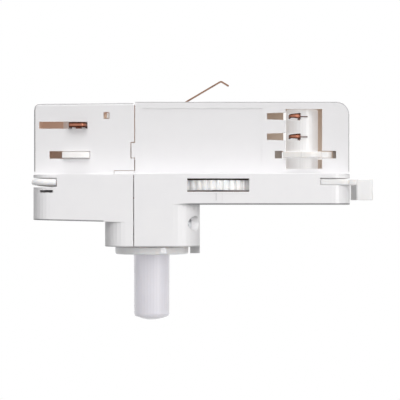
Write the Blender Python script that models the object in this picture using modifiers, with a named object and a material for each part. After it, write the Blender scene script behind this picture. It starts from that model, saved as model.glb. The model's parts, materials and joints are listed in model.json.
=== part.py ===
"""Track light adapter for a three-circuit lighting track, in metres, +Z up.

The insert (upper part) goes up into the track, the base closes the track's mouth, and
the threaded stem below carries the lamp. X runs along the track, the photographed side
faces -Y, Z = 0 is the shoulder that meets the track, and X = Y = 0 is the stem's axis.
"""
import math

import bmesh
import bpy
from mathutils import Matrix, Vector

# Clearances
SEAT_GAP = 0.0003
SLOT_GAP = 0.0003

# Housing, shared by the main body and the end cover
SEAM_X = -0.00585
SEAM_GAP = 0.0003
BODY_LEFT = -0.0419
BODY_RIGHT = 0.0711
INSERT_HALF = 0.009
INSERT_WALL = 0.0015
INSERT_TOP = 0.0258
INSERT_END_RADIUS = 0.0045
INSERT_FILLET = 0.0007
BASE_HALF = 0.018
BASE_WALL = 0.0018
BASE_BOTTOM = -0.0111
BASE_CORNER = min(0.0070, BASE_HALF - INSERT_HALF - 0.0020)
BASE_FILLET = 0.0012
SHOULDER_FILLET = 0.0008
SHOULDER_PLATE = 0.0016
BOSS_LEFT = -0.0164
BOSS_RIGHT = 0.0175
BOSS_BOTTOM = -0.026
BOSS_CORNER_RIGHT = 0.0095
BOSS_CORNER_LEFT = 0.0075
EDGE_ROUND = 0.0004

# End cover, which tapers towards its closed end
COVER_TOP_AT_SEAM = 0.02544
COVER_TOP_DROP = 0.00035
COVER_SHOULDER = -0.00045
COVER_PLATE = 0.0011
COVER_BOTTOM_AT_END = -0.0165
COVER_BOTTOM_DROP = 0.00085
COVER_FLOOR = -0.0149
COVER_CORNER = min(0.0065, BASE_HALF - INSERT_HALF - 0.0025)
COVER_FILLET = 0.0007
COVER_END_RADIUS = 0.0018

# Catches between the two halves
TAB_REACH = 0.0012
TAB_LOW = 0.0058
TAB_HIGH = 0.0111
TONGUE_REACH = 0.0073
TONGUE_HIGH = 0.00104
TONGUE_GAP = 0.00016
CATCH_WINDOW_X = -0.0170
CATCH_WINDOW_LENGTH = 0.0021
CATCH_LOW = 0.0197
CATCH_HIGH = 0.0221
CATCH_ARM = 0.0010

# Cover screws, along X through the wiring chamber
SCREW_Y = BASE_HALF - 0.0043
SCREW_Z = -0.0178
SCREW_SHANK_RADIUS = 0.0014
SCREW_HEAD_RADIUS = 0.0023
SCREW_HEAD_THICKNESS = 0.0018
SCREW_LENGTH = 0.0245
SCREW_SEAT_X = 0.0124
SCREW_RECESS_RADIUS = 0.0027
POST_RADIUS = 0.0034

# Selector wheel and the gear pair that turns the turret
WHEEL_TEETH = 48
GEAR_TEETH = 35
WHEEL_PROUD = 0.0003
WHEEL_TOP = -0.0024
WHEEL_THICKNESS = 0.0035
WHEEL_ADDENDUM = 0.00055
WHEEL_DEDENDUM = 0.00080
GEAR_ADDENDUM = 0.00050
GEAR_DEDENDUM = 0.00085
GEAR_THICKNESS = 0.0015
WHEEL_WINDOW_HALF = 0.01095
WHEEL_WINDOW_LOW = -0.0065
WHEEL_WINDOW_HIGH = -0.0018
AXLE_RADIUS = 0.0020
AXLE_BOSS_RADIUS = 0.0040
INDEX_HALF = 0.00125
INDEX_GROOVE = 0.00025
INDEX_WIDTH = 0.0004
GEAR_END_GAP = 0.00116
WHEEL_PITCH_RADIUS = BASE_HALF + WHEEL_PROUD - WHEEL_ADDENDUM
GEAR_PITCH_RADIUS = WHEEL_PITCH_RADIUS * GEAR_TEETH / WHEEL_TEETH
TURRET_X = BODY_RIGHT - BASE_WALL - GEAR_END_GAP - GEAR_PITCH_RADIUS - GEAR_ADDENDUM
WHEEL_X = TURRET_X - WHEEL_PITCH_RADIUS - GEAR_PITCH_RADIUS

# Contact turret, on the right
TURRET_RADIUS = 0.0058
TURRET_TOP = 0.0234
TURRET_BOTTOM = 0.0082
PIVOT_RADIUS = 0.0020
PIVOT_LENGTH = 0.0014
SHAFT_RADIUS = 0.0026
SHAFT_END = -0.0082
CONDUCTOR_RADIUS = 0.0012
RING_RADIUS = 0.0046
RING_TOP = -0.0068
WINDOW_LEFT = TURRET_X - 0.0064
WINDOW_RIGHT = TURRET_X + 0.0067
WINDOW_LOW = 0.0018
WINDOW_HIGH = 0.0232

# Phase contacts on the turret
CONTACT_THICKNESS = 0.00045
CONTACT_HEIGHT = 0.0019
CONTACT_REACH = 0.0132
PHASE_CONTACT_HEIGHTS = {"phase_contact_upper": 0.0206, "phase_contact_lower": 0.0133}
PHASE_NOSE_LEFT = -0.0050
PHASE_NOSE_RIGHT = -0.0012
PHASE_NOSE_LOW_SHARE = 0.68
PHASE_NOSE_HIGH_SHARE = 1.07
CONTACT_SLOT_LEFT = TURRET_X - 0.0131
CONTACT_SLOT_HEIGHT = 0.0022
CONTACT_SLOT_FLARE = 0.0028
CONTACT_BEND = 0.0017
CONTACT_END = 0.0026
CONTACT_SHOULDER = 0.0024
CONTACT_ROOT = 0.0009
TONGUE_RIGHT = 0.0016
TONGUE_THICKNESS = 0.0003

# Lock cam and its lever, on the turret's axis
CAM_RADIUS = 0.0124
CAM_LEFT = -0.0074
CAM_RIGHT = 0.0064
CAM_HEEL_HALF = INSERT_HALF - 0.0006
CAM_HEEL_RIGHT = CAM_RADIUS - 0.0021
CAM_LOW = 0.0058
CAM_HIGH = 0.0079
CAM_SLOT_LEFT = TURRET_X - 0.0103
CAM_SLOT_RIGHT = TURRET_X + 0.0117
CAM_SLOT_RECESS = 0.0009
LEVER_TOP = -0.0021
LEVER_THICKNESS = 0.0019
LEVER_HUB_RADIUS = 0.009
LEVER_GAP = 0.00015
LEVER_SLOT_REAR = TURRET_X - 0.0084
LEVER_SQUARE = 0.0070
PAD_BOTTOM = -0.0095
PAD_HALF = 0.0115
PAD_GAP = 0.00235
PAD_RIGHT = BODY_RIGHT + 0.0082
PADDLE_INSET = 0.0002
PADDLE_LEFT = TURRET_X + 0.0055
PADDLE_STEP = 0.0040

# Neutral rotor and its lever, on the left
ROTOR_X = -0.0265
ROTOR_RADIUS = 0.0057
ROTOR_TOP = 0.0230
NEUTRAL_HEIGHT = 0.0174
NEUTRAL_NOSE_LEFT = -0.0028
NEUTRAL_NOSE_RIGHT = 0.0034
NEUTRAL_SLOT_LEFT = ROTOR_X - 0.0136
NEUTRAL_SLOT_RIGHT = ROTOR_X + 0.0037
LOCK_TAB_RADIUS = 0.0121
LOCK_TAB_LEFT = -0.00525
LOCK_TAB_RIGHT = 0.00445
LOCK_TAB_LOW = 0.0057
LOCK_TAB_HIGH = 0.0078
LOCK_SLOT_LEFT = ROTOR_X - 0.0099
LOCK_SLOT_RIGHT = ROTOR_X + 0.0047
ROTOR_NECK_RADIUS = 0.0040
ROTOR_SQUARE = 0.0060
LEFT_LEVER_RADIUS = 0.0072
LEFT_LEVER_HUB = 0.0070
LEFT_SLOT_RIGHT = BODY_LEFT + 0.0089
LEFT_SLOT_LOW = -0.00495
COLUMN_RADIUS = 0.0044
COLUMN_TOP = -0.0065
SLIT_LEFT = BODY_LEFT + 0.0028
SLIT_RIGHT = BODY_LEFT + 0.0075
SLIT_LOW = -0.0068
SLIT_HIGH = -0.0059

# Earth spring
EARTH_WIDTH = 0.0035
EARTH_THICKNESS = 0.00045
EARTH_HINGE = (0.0065, 0.0227)
EARTH_PEAK = (0.0252, 0.0337)
EARTH_TIP = (0.0280, 0.0320)
EARTH_SLOT_LEFT = 0.0084
EARTH_SLOT_RIGHT = 0.0306
EARTH_RISER_INSET = 0.0017

# Terminals in the wiring chamber
BLOCK_LEFT = -0.0042
BLOCK_RIGHT = 0.0080
BLOCK_HALF = BASE_HALF - 0.0060
BLOCK_HEIGHT = 0.0065
TERMINAL_PITCH = BLOCK_HALF * 2 / 3
CAGE_WIDTH = 0.0054
CAGE_HEIGHT = 0.0043
CAGE_LENGTH = 0.0090
WIRE_BORE_RADIUS = 0.0015
TERMINAL_SCREW_RADIUS = 0.0012
STRIP_WIDTH = 0.0030
STRIP_THICKNESS = 0.0004
STRIP_RUN_IN = 0.0050
STRIP_BEND = 0.0085

# Stem below the boss
NIPPLE_RADIUS = 0.0049
NIPPLE_BORE_RADIUS = 0.0037
NIPPLE_TOP = -0.0188
NIPPLE_BOTTOM = -0.0480
STEM_HOLE_RADIUS = 0.0052
NUT_FLATS = 0.0140
NUT_THICKNESS = 0.0028
WASHER_RADIUS = 0.0085
WASHER_THICKNESS = 0.0010
COLLAR_RADIUS = 0.0133
COLLAR_THICKNESS = 0.0027
CAP_RADIUS = 0.0065
CAP_BOTTOM = -0.0529
CAP_END_WALL = 0.0022
CAP_DOME = 0.0012
STOP_LEFT = 0.0140
STOP_DEPTH = 0.0027
STOP_HALF = 0.0030

# Label field on the insert's front
LABEL_LEFT = -0.0032
LABEL_RIGHT = 0.0398
LABEL_LOW = 0.0020
LABEL_HIGH = 0.0234
LABEL_DEPTH = 0.0002

FINISHES = {
    "white_shell": ((0.80, 0.80, 0.79), 0.38, 0.0),
    "white_moving": ((0.83, 0.82, 0.79), 0.36, 0.0),
    "white_cap": ((0.76, 0.75, 0.78), 0.42, 0.0),
    "copper": ((0.78, 0.42, 0.26), 0.30, 1.0),
    "brass": ((0.76, 0.60, 0.30), 0.32, 1.0),
    "steel": ((0.62, 0.63, 0.65), 0.30, 1.0),
    "dark_plastic": ((0.16, 0.15, 0.15), 0.50, 0.0),
}
CLEAR = 0.002


def clear_scene():
    for old in list(bpy.data.objects):
        bpy.data.objects.remove(old, do_unlink=True)


def new_collection(name):
    collection = bpy.data.collections.new(name)
    bpy.context.scene.collection.children.link(collection)
    return collection


def finish(name):
    """The material of one finish, made once."""
    material = bpy.data.materials.get(name)
    if material is None:
        colour, roughness, metallic = FINISHES[name]
        material = bpy.data.materials.new(name)
        material.use_nodes = True
        shader = material.node_tree.nodes["Principled BSDF"]
        shader.inputs["Base Color"].default_value = (*colour, 1.0)
        shader.inputs["Roughness"].default_value = roughness
        shader.inputs["Metallic"].default_value = metallic
    return material


def as_object(bm):
    """A workshop object from a bmesh, with its faces pointing out."""
    bmesh.ops.recalc_face_normals(bm, faces=bm.faces)
    mesh = bpy.data.meshes.new("shape")
    bm.to_mesh(mesh)
    bm.free()
    shape = bpy.data.objects.new("shape", mesh)
    workshop.objects.link(shape)
    return shape


def evaluated_bmesh(shape, merge=1e-6):
    """The shape as its modifiers leave it, welded; the shape itself is used up."""
    graph = bpy.context.evaluated_depsgraph_get()
    mesh = bpy.data.meshes.new_from_object(shape.evaluated_get(graph))
    bm = bmesh.new()
    bm.from_mesh(mesh)
    bm.transform(shape.matrix_world)
    bmesh.ops.remove_doubles(bm, verts=bm.verts, dist=merge)
    bpy.data.meshes.remove(mesh)
    bpy.data.objects.remove(shape, do_unlink=True)
    return bm


def block(low, high):
    """A box between two corners."""
    low, high = Vector(low), Vector(high)
    bm = bmesh.new()
    bmesh.ops.create_cube(bm, size=1.0)
    size = high - low
    bm.transform(Matrix.Translation((low + high) / 2) @ Matrix.Diagonal((*size, 1.0)))
    return as_object(bm)


def turned(profile, place=(0.0, 0.0, 0.0), along="Z", steps=32):
    """A turned shape: (radius, height) points down its outer side, then up any bore."""
    bm = bmesh.new()
    points = [bm.verts.new((radius, 0.0, height)) for radius, height in profile]
    for first, second in zip(points, points[1:]):
        bm.edges.new((first, second))
    if profile[0][0] > 0.0:
        bm.edges.new((points[-1], points[0]))
    shape = as_object(bm)
    spin = shape.modifiers.new("Turn", "SCREW")
    spin.axis = "Z"
    spin.steps = spin.render_steps = steps
    spin.use_merge_vertices = True
    spin.merge_threshold = 1e-6
    bm = evaluated_bmesh(shape)
    turn = Matrix.Identity(4)
    if along == "X":
        turn = Matrix.Rotation(math.radians(90), 4, "Y")
    bm.transform(Matrix.Translation(place) @ turn)
    return as_object(bm)


def drum(radius, low, high, place=(0.0, 0.0), steps=32):
    """An upright cylinder."""
    return turned([(0.0, high), (radius, high), (radius, low), (0.0, low)],
                  (place[0], place[1], 0.0), steps=steps)


def bar_along_x(radius, left, right, y, z, steps=24):
    """A cylinder that lies along X."""
    bm = bmesh.new()
    bmesh.ops.create_cone(bm, cap_ends=True, segments=steps, radius1=radius, radius2=radius,
                          depth=right - left)
    turn = Matrix.Rotation(math.radians(90), 4, "Y")
    bm.transform(Matrix.Translation(((left + right) / 2, y, z)) @ turn)
    return as_object(bm)


def rounded(corners, closed=True, steps=6):
    """Points of an outline whose corners are (x, y) or (x, y, radius)."""
    points = []
    count = len(corners)
    for index, corner in enumerate(corners):
        here = Vector(corner[:2])
        radius = corner[2] if len(corner) > 2 else 0.0
        inside = closed or 0 < index < count - 1
        if radius <= 0.0 or not inside:
            points.append(tuple(here))
            continue
        before = (Vector(corners[index - 1][:2]) - here).normalized()
        after = (Vector(corners[(index + 1) % count][:2]) - here).normalized()
        half = before.angle(after) / 2
        middle = here + (before + after).normalized() * (radius / math.sin(half))
        start = here + before * (radius / math.tan(half)) - middle
        end = here + after * (radius / math.tan(half)) - middle
        sweep = start.angle_signed(end)
        for step in range(steps + 1):
            angle = -sweep * step / steps
            cosine, sine = math.cos(angle), math.sin(angle)
            points.append((middle.x + start.x * cosine - start.y * sine,
                           middle.y + start.x * sine + start.y * cosine))
    return points


def outline_curve(points, half_depth, closed, fill):
    data = bpy.data.curves.new("outline", "CURVE")
    data.dimensions = "2D"
    data.fill_mode = fill
    data.extrude = half_depth
    spline = data.splines.new("POLY")
    spline.points.add(len(points) - 1)
    for target, point in zip(spline.points, points):
        target.co = (point[0], point[1], 0.0, 1.0)
    spline.use_cyclic_u = closed
    shape = bpy.data.objects.new("outline", data)
    workshop.objects.link(shape)
    return shape


def plate(points, low, high, upright=False):
    """A flat outline with a thickness: in plan from low to high in Z, or upright in Y."""
    bm = evaluated_bmesh(outline_curve(points, (high - low) / 2, True, "BOTH"))
    if upright:
        bm.transform(Matrix.Translation((0.0, (low + high) / 2, 0.0))
                     @ Matrix.Rotation(math.radians(90), 4, "X"))
    else:
        bm.transform(Matrix.Translation((0.0, 0.0, (low + high) / 2)))
    return as_object(bm)


def ribbon(points, width, thickness, middle=0.0, upright=False):
    """A bent strip: its path in plan with a height, or in the XZ plane with a width in Y."""
    bm = evaluated_bmesh(outline_curve(points, width / 2, False, "NONE"))
    shape = as_object(bm)
    wall = shape.modifiers.new("Wall", "SOLIDIFY")
    wall.thickness = thickness
    wall.offset = 0.0
    wall.use_even_offset = True
    bm = evaluated_bmesh(shape)
    if upright:
        bm.transform(Matrix.Translation((0.0, middle, 0.0))
                     @ Matrix.Rotation(math.radians(90), 4, "X"))
    else:
        bm.transform(Matrix.Translation((0.0, 0.0, middle)))
    return as_object(bm)


def round_edges(shape, chosen, width, segments=2):
    """Rounds the edges whose two ends both pass the test."""
    bm = bmesh.new()
    bm.from_mesh(shape.data)
    edges = [edge for edge in bm.edges
             if all(chosen(vert.co) for vert in edge.verts) and edge.calc_face_angle(0.0) > 0.6]
    bmesh.ops.bevel(bm, geom=edges, offset=width, segments=segments, profile=0.5,
                    affect="EDGES", clamp_overlap=True)
    bm.to_mesh(shape.data)
    bm.free()
    return shape


def combine(base, tools, operation):
    """Joins or cuts a base with a list of tools, and uses the tools up."""
    group = bpy.data.collections.new("tools")
    cutters.children.link(group)
    for tool in tools:
        group.objects.link(tool)
        workshop.objects.unlink(tool)
        tool.hide_render = True
        tool.display_type = "WIRE"
    step = base.modifiers.new("Combine", "BOOLEAN")
    step.operand_type = "COLLECTION"
    step.collection = group
    step.operation = operation
    step.solver = "EXACT"
    result = as_object(evaluated_bmesh(base))
    for tool in list(group.objects):
        bpy.data.objects.remove(tool, do_unlink=True)
    bpy.data.collections.remove(group)
    return result


def joined(base, *tools):
    return combine(base, tools, "UNION")


def cut(base, *tools):
    return combine(base, tools, "DIFFERENCE")


def mirrored(low, high):
    """Two boxes, the second mirrored across the Y = 0 plane."""
    return (block(low, high),
            block((low[0], -high[1], low[2]), (high[0], -low[1], high[2])))


def node(name, shape, finish_name, axis=None):
    """Hands a finished shape over as a named sub-part, its origin on its joint's axis."""
    shape.name = name
    shape.data.name = name
    if axis is not None:
        shape.data.transform(Matrix.Translation(-Vector(axis)))
        shape.location = axis
    shape.data.materials.clear()
    shape.data.materials.append(finish(finish_name))
    shape.data.shade_smooth()
    shape.data.set_sharp_from_angle(angle=math.radians(32))
    workshop.objects.unlink(shape)
    adapter.objects.link(shape)
    return shape


def toothed_outline(teeth, root, tip, centre_x, tooth_at, root_share=0.30, tip_share=0.17):
    """A toothed rim with one tooth pointing at the angle tooth_at."""
    points = []
    for index in range(teeth):
        middle = tooth_at + 2 * math.pi * index / teeth
        half_root = 2 * math.pi / teeth * root_share
        half_tip = 2 * math.pi / teeth * tip_share
        for radius, angle in ((root, middle - half_root), (tip, middle - half_tip),
                              (tip, middle + half_tip), (root, middle + half_root)):
            points.append((centre_x + radius * math.cos(angle), radius * math.sin(angle)))
    return points


def lobed_outline(radius, left, right, centre_x, steps=7, heel=()):
    """A disc trimmed to a front lobe from left to right, and the same lobe half a turn on.

    The front lobe can end in a heel, a step that stays just inside the wall.
    """
    front = []
    for step in range(steps + 1):
        x = left + (right - left) * step / steps
        front.append((x, -math.sqrt(radius * radius - x * x)))
    rear = [(-x, -y) for x, y in front]
    return [(centre_x + x, y) for x, y in front + list(heel) + rear]


def main_outer():
    """The right housing's outside: insert, base, boss and rotation stop."""
    left = SEAM_X + SEAM_GAP / 2
    insert = plate(rounded([(left, -0.004), (BODY_RIGHT, -0.004),
                            (BODY_RIGHT, INSERT_TOP, INSERT_END_RADIUS), (left, INSERT_TOP)]),
                   -INSERT_HALF, INSERT_HALF, upright=True)
    insert = round_edges(insert, lambda p: abs(abs(p.y) - INSERT_HALF) < 1e-6
                         and p.z > 0.001 and p.x > left + 1e-6 or abs(p.z - INSERT_TOP) < 1e-6
                         and abs(abs(p.y) - INSERT_HALF) < 1e-6, INSERT_FILLET)
    base = plate(rounded([(left, -BASE_HALF), (BODY_RIGHT, -BASE_HALF, BASE_CORNER),
                          (BODY_RIGHT, BASE_HALF, BASE_CORNER), (left, BASE_HALF)], steps=8),
                 BASE_BOTTOM, 0.0)
    base = round_edges(base, lambda p: abs(p.z - BASE_BOTTOM) < 1e-6, BASE_FILLET, 3)
    base = round_edges(base, lambda p: abs(p.z) < 1e-6, SHOULDER_FILLET, 2)
    boss = plate(rounded([(left, -BASE_HALF), (BOSS_RIGHT, -BASE_HALF, BOSS_CORNER_RIGHT),
                          (BOSS_RIGHT, BASE_HALF, BOSS_CORNER_RIGHT), (left, BASE_HALF)], steps=9),
                 BOSS_BOTTOM, BASE_BOTTOM + BASE_FILLET * 2)
    boss = round_edges(boss, lambda p: abs(p.z - BOSS_BOTTOM) < 1e-6, EDGE_ROUND)
    stop = block((STOP_LEFT, -STOP_HALF, BOSS_BOTTOM - STOP_DEPTH),
                 (BOSS_RIGHT, STOP_HALF, BOSS_BOTTOM + BASE_WALL))
    return joined(base, insert, boss, stop)


def main_cavity():
    """The right housing's inside, open at the seam, around the posts that stay solid."""
    left = SEAM_X - CLEAR
    right = BODY_RIGHT - BASE_WALL
    half = BASE_HALF - BASE_WALL
    insert = block((left, -INSERT_HALF + INSERT_WALL, 0.0),
                   (BODY_RIGHT - INSERT_WALL, INSERT_HALF - INSERT_WALL, INSERT_TOP - INSERT_WALL))
    throat = block((left, -INSERT_HALF + INSERT_WALL, -SHOULDER_PLATE - CLEAR / 2),
                   (WHEEL_X - AXLE_BOSS_RADIUS * 3, INSERT_HALF - INSERT_WALL, CLEAR))
    corner = BASE_CORNER - BASE_WALL
    base = plate(rounded([(left, -half), (right, -half, corner), (right, half, corner),
                          (left, half)], steps=4), BASE_BOTTOM + BASE_WALL, -SHOULDER_PLATE)
    boss_right = BOSS_RIGHT - BASE_WALL
    corner = BOSS_CORNER_RIGHT - BASE_WALL
    boss = plate(rounded([(left, -half), (boss_right, -half, corner),
                          (boss_right, half, corner), (left, half)], steps=4),
                 BOSS_BOTTOM + BASE_WALL, BASE_BOTTOM + BASE_WALL + CLEAR / 2)
    hollow = joined(base, insert, throat, boss)
    floor = BASE_BOTTOM + BASE_WALL
    posts = [bar_along_x(POST_RADIUS, left - CLEAR, BOSS_RIGHT, side * SCREW_Y, SCREW_Z)
             for side in (-1, 1)]
    ring = drum(RING_RADIUS, floor - CLEAR / 2, RING_TOP, (TURRET_X, 0.0))
    axle_boss = drum(AXLE_BOSS_RADIUS, floor - CLEAR / 2,
                     WHEEL_TOP - WHEEL_THICKNESS - SEAT_GAP, (WHEEL_X, 0.0))
    return cut(hollow, ring, axle_boss, *posts)


def catch_arm(side):
    """The latch arm that reaches into the end cover, with its wedge tooth."""
    inner = INSERT_HALF - INSERT_WALL
    outer = inner - SLOT_GAP
    low, high = CATCH_LOW + SLOT_GAP, CATCH_HIGH - SLOT_GAP
    window_right = CATCH_WINDOW_X + CATCH_WINDOW_LENGTH
    tooth_left = CATCH_WINDOW_X + SLOT_GAP
    tooth_right = window_right - SLOT_GAP
    root = SEAM_X + SEAM_GAP / 2
    points = [(tooth_left - CATCH_ARM, outer - CATCH_ARM), (root + 0.004, outer - CATCH_ARM),
              (root + 0.004, inner + SLOT_GAP), (root, inner + SLOT_GAP), (root, outer),
              (tooth_right, outer), (tooth_right, INSERT_HALF - SLOT_GAP),
              (tooth_right - CATCH_ARM / 2, INSERT_HALF - SLOT_GAP), (tooth_left, outer),
              (tooth_left - CATCH_ARM, outer)]
    return plate([(x, side * y) for x, y in points], low, high)


def make_main_body():
    body = cut(main_outer(), main_cavity())
    left = SEAM_X + SEAM_GAP / 2
    wall = INSERT_HALF - INSERT_WALL
    tabs = mirrored((SEAM_X - TAB_REACH, -INSERT_HALF, TAB_LOW),
                    (left + CLEAR, -wall, TAB_HIGH))
    tongues = mirrored((SEAM_X - TONGUE_REACH, -INSERT_HALF, COVER_SHOULDER + TONGUE_GAP),
                       (left + CLEAR, -wall, TONGUE_HIGH))
    body = joined(body, *tabs, *tongues, catch_arm(-1), catch_arm(1))
    return node("main_body", cut(body, *main_openings()), "white_shell")


def main_openings():
    """Every window, slot, hole and recess in the right housing."""
    half = BASE_HALF + CLEAR
    wall = INSERT_HALF - INSERT_WALL - CLEAR / 4
    tools = [block((WINDOW_LEFT, -half, WINDOW_LOW), (WINDOW_RIGHT, -wall, WINDOW_HIGH)),
             block((WINDOW_LEFT, wall, WINDOW_LOW),
                   (TURRET_X + TURRET_RADIUS - SLOT_GAP, half, WINDOW_HIGH))]
    for height in PHASE_CONTACT_HEIGHTS.values():
        narrow, wide = CONTACT_SLOT_HEIGHT / 2, CONTACT_SLOT_FLARE / 2
        end = WINDOW_LEFT + CLEAR / 4
        tools.append(plate([(CONTACT_SLOT_LEFT, height - narrow), (end, height - wide),
                            (end, height + wide), (CONTACT_SLOT_LEFT, height + narrow)],
                           -half, -wall, upright=True))
    low, high = CAM_LOW - SLOT_GAP, CAM_HIGH + SLOT_GAP
    sweep = math.sqrt(CAM_RADIUS ** 2 - wall ** 2) + SLOT_GAP
    tools.append(block((TURRET_X + CAM_LEFT - SLOT_GAP, -half, low),
                       (TURRET_X + sweep, -wall, high)))
    tools.append(block((CAM_SLOT_LEFT, -half, low),
                       (CAM_SLOT_RIGHT, CAM_SLOT_RECESS - INSERT_HALF, high)))
    tools.append(block((TURRET_X - sweep, wall, low), (TURRET_X + sweep, half, high)))
    slot_top = -SHOULDER_PLATE
    slot_low = LEVER_TOP - LEVER_THICKNESS - LEVER_GAP
    far = BODY_RIGHT + CLEAR
    deep = BASE_HALF - BASE_CORNER
    tools.append(block((PADDLE_LEFT - LEVER_GAP, -half, slot_low), (far, -deep, slot_top)))
    tools.append(block((BODY_RIGHT - BASE_CORNER, -half, slot_low), (far, half, slot_top)))
    tools.append(block((LEVER_SLOT_REAR, deep, slot_low), (far, half, slot_top)))
    tools.extend(mirrored((WHEEL_X - WHEEL_WINDOW_HALF, -half, WHEEL_WINDOW_LOW),
                          (WHEEL_X + WHEEL_WINDOW_HALF, -BASE_HALF + BASE_WALL + CLEAR / 2,
                           WHEEL_WINDOW_HIGH)))
    tools.append(drum(TURRET_RADIUS + SLOT_GAP, -SHOULDER_PLATE - CLEAR, CLEAR / 2,
                      (TURRET_X, 0.0)))
    tools.append(drum(SHAFT_RADIUS + SEAT_GAP, BASE_BOTTOM + BASE_WALL, RING_TOP + CLEAR,
                      (TURRET_X, 0.0), 24))
    tools.append(block((TURRET_X - RING_RADIUS - CLEAR, -STRIP_WIDTH / 2 - SLOT_GAP,
                        BASE_BOTTOM + BASE_WALL),
                       (TURRET_X, STRIP_WIDTH / 2 + SLOT_GAP, SHAFT_END + SLOT_GAP / 3)))
    ceiling = INSERT_TOP - INSERT_WALL
    tools.append(drum(PIVOT_RADIUS + SLOT_GAP, ceiling - CLEAR / 2,
                      TURRET_TOP + PIVOT_LENGTH + SEAT_GAP, (TURRET_X, 0.0), 20))
    tools.append(drum(AXLE_RADIUS + SEAT_GAP, BASE_BOTTOM + BASE_WALL, -SHOULDER_PLATE / 2,
                      (WHEEL_X, 0.0), 20))
    tools.append(drum(STEM_HOLE_RADIUS, BOSS_BOTTOM - CLEAR, BOSS_BOTTOM + BASE_WALL + CLEAR))
    shank = SCREW_SHANK_RADIUS + SEAT_GAP
    for side in (-1, 1):
        tools.append(turned([(0.0, BOSS_RIGHT + CLEAR), (SCREW_RECESS_RADIUS, BOSS_RIGHT + CLEAR),
                             (SCREW_RECESS_RADIUS, SCREW_SEAT_X), (shank, SCREW_SEAT_X),
                             (shank, SEAM_X - CLEAR), (0.0, SEAM_X - CLEAR)],
                            (0.0, side * SCREW_Y, SCREW_Z), along="X", steps=20))
    tools.append(block((LABEL_LEFT, -half, LABEL_LOW),
                       (LABEL_RIGHT, -INSERT_HALF + LABEL_DEPTH, LABEL_HIGH)))
    tools.append(block((EARTH_SLOT_LEFT, -EARTH_WIDTH / 2 - SLOT_GAP, ceiling - CLEAR / 2),
                       (EARTH_SLOT_RIGHT, EARTH_WIDTH / 2 + SLOT_GAP, INSERT_TOP + CLEAR)))
    for side in (-1, 1):
        middle = WHEEL_X + side * INDEX_HALF
        tools.append(block((middle - INDEX_WIDTH / 2, -half, BASE_BOTTOM + BASE_FILLET),
                           (middle + INDEX_WIDTH / 2, -BASE_HALF + INDEX_GROOVE,
                            WHEEL_WINDOW_LOW - CLEAR / 4)))
    groove = BOSS_BOTTOM - STOP_DEPTH / 2
    tools.append(block((STOP_LEFT - CLEAR, -STOP_HALF - CLEAR, groove - INDEX_GROOVE),
                       (far, -STOP_HALF + INDEX_GROOVE, groove + INDEX_GROOVE)))
    return tools


def cover_top(x):
    share = (SEAM_X - x) / (SEAM_X - BODY_LEFT)
    return COVER_TOP_AT_SEAM - COVER_TOP_DROP * share


def cover_bottom(x):
    share = (x - BODY_LEFT) / (SEAM_X - BODY_LEFT)
    return COVER_BOTTOM_AT_END - COVER_BOTTOM_DROP * share


def cover_outer():
    """The left housing's outside, with its sloped top and underside."""
    right = SEAM_X - SEAM_GAP / 2
    insert = plate(rounded([(BODY_LEFT, -0.004), (right, -0.004), (right, cover_top(right)),
                            (BODY_LEFT, cover_top(BODY_LEFT), COVER_END_RADIUS)]),
                   -INSERT_HALF, INSERT_HALF, upright=True)
    insert = round_edges(insert, lambda p: abs(abs(p.y) - INSERT_HALF) < 1e-6
                         and (p.z > 0.001 or p.x < right - 1e-6) and p.z > -0.0039, INSERT_FILLET)
    base = plate(rounded([(BODY_LEFT, -BASE_HALF, COVER_CORNER), (right, -BASE_HALF),
                          (right, BASE_HALF), (BODY_LEFT, BASE_HALF, COVER_CORNER)], steps=8),
                 COVER_BOTTOM_AT_END, COVER_SHOULDER)
    for vert in base.data.vertices:
        if vert.co.z < COVER_FLOOR:
            vert.co.z = cover_bottom(vert.co.x)
    base = round_edges(base, lambda p: p.z < COVER_FLOOR, COVER_FILLET, 2)
    boss = plate(rounded([(BOSS_LEFT, -BASE_HALF, BOSS_CORNER_LEFT), (right, -BASE_HALF),
                          (right, BASE_HALF), (BOSS_LEFT, BASE_HALF, BOSS_CORNER_LEFT)], steps=8),
                 BOSS_BOTTOM, COVER_FLOOR)
    boss = round_edges(boss, lambda p: abs(p.z - BOSS_BOTTOM) < 1e-6, EDGE_ROUND)
    return joined(base, insert, boss)


def cover_cavity():
    """The left housing's inside, around its screw posts and the rotor's column."""
    right = SEAM_X + CLEAR
    half = BASE_HALF - BASE_WALL
    insert = block((BODY_LEFT + INSERT_WALL, -INSERT_HALF + INSERT_WALL, COVER_SHOULDER),
                   (right, INSERT_HALF - INSERT_WALL, cover_top(BODY_LEFT) - INSERT_WALL))
    throat = block((BOSS_LEFT, -INSERT_HALF + INSERT_WALL, COVER_SHOULDER - COVER_PLATE * 2),
                   (right + SLOT_GAP, INSERT_HALF - INSERT_WALL - EDGE_ROUND / 8, CLEAR))
    corner = COVER_CORNER - BASE_WALL
    base = plate(rounded([(BODY_LEFT + BASE_WALL, -half, corner), (right, -half), (right, half),
                          (BODY_LEFT + BASE_WALL, half, corner)], steps=4),
                 COVER_FLOOR, COVER_SHOULDER - COVER_PLATE)
    boss_left = BOSS_LEFT + BASE_WALL
    corner = BOSS_CORNER_LEFT - BASE_WALL
    end, half = right + SLOT_GAP * 2, half - EDGE_ROUND / 8
    boss = plate(rounded([(boss_left, -half, corner), (end, -half), (end, half),
                          (boss_left, half, corner)], steps=4),
                 BOSS_BOTTOM + BASE_WALL, COVER_FLOOR + CLEAR)
    hollow = joined(base, insert, throat, boss)
    posts = [bar_along_x(POST_RADIUS, BOSS_LEFT, right + CLEAR, side * SCREW_Y, SCREW_Z)
             for side in (-1, 1)]
    column = drum(COLUMN_RADIUS, COVER_FLOOR - CLEAR / 2, COLUMN_TOP, (ROTOR_X, 0.0))
    return cut(hollow, column, *posts)


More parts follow.
